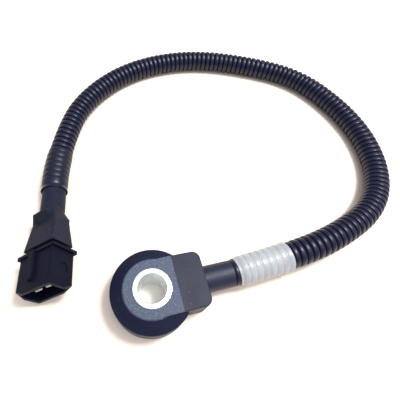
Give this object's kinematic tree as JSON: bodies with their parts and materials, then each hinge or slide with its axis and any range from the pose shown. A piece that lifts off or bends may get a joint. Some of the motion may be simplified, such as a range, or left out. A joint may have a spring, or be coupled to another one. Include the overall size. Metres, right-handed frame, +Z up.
{
  "type": "engine knock sensor",
  "caption": "Flat ring-shaped knock sensor with a metal bolt bush, an overmoulded body with a side lead-out, a corrugated protected lead and a rectangular plug.",
  "frame": {"origin": "the bolt hole's axis on the mounting face of the metal bush", "axes": "+Z up the bolt, away from the engine; +X along the lead-out block and the strain relief tube"},
  "size_m": [0.1482, 0.1257, 0.0173],
  "materials": {
    "housing_plastic": "matte, glass-filled",
    "bush_metal": "bright plated, turned",
    "insulation": "smooth film",
    "contact_metal": "tinned sheet",
    "piezo_ceramic": "fine ceramic with silvered faces",
    "mass_metal": "turned",
    "spring_steel": "blued",
    "nut_metal": "plated",
    "lead_metal": "tinned",
    "relief_tube_plastic": "smooth and glossy",
    "conduit_plastic": "semi-gloss, corrugated",
    "clear_sleeve_plastic": "clear, shrunk on",
    "black_sleeve_plastic": "semi-gloss, shrunk on",
    "boot_rubber": "matte",
    "shell_plastic": "matte",
    "blade_metal": "tinned",
    "cable_jacket": "smooth jacket"
  },
  "bodies": {
    "root": {"sensor_housing": "housing_plastic", "mounting_bush": "bush_metal", "insulating_sleeve": "insulation", "lower_insulator": "insulation", "upper_insulator": "insulation", "ground_contact_disc": "contact_metal", "signal_contact_disc": "contact_metal", "piezo_ring": "piezo_ceramic", "seismic_mass": "mass_metal", "disc_spring": "spring_steel", "clamp_nut": "nut_metal", "signal_lead": "lead_metal", "ground_lead": "lead_metal", "strain_relief_tube": "relief_tube_plastic", "signal_cable": "cable_jacket", "conduit": "conduit_plastic", "clear_shrink_sleeve": "clear_sleeve_plastic", "black_shrink_sleeve": "black_sleeve_plastic", "connector_boot": "boot_rubber", "connector_shell": "shell_plastic", "signal_blade": "blade_metal", "ground_blade": "blade_metal", "signal_core": "lead_metal", "ground_core": "lead_metal"}
  },
  "joints": []
}
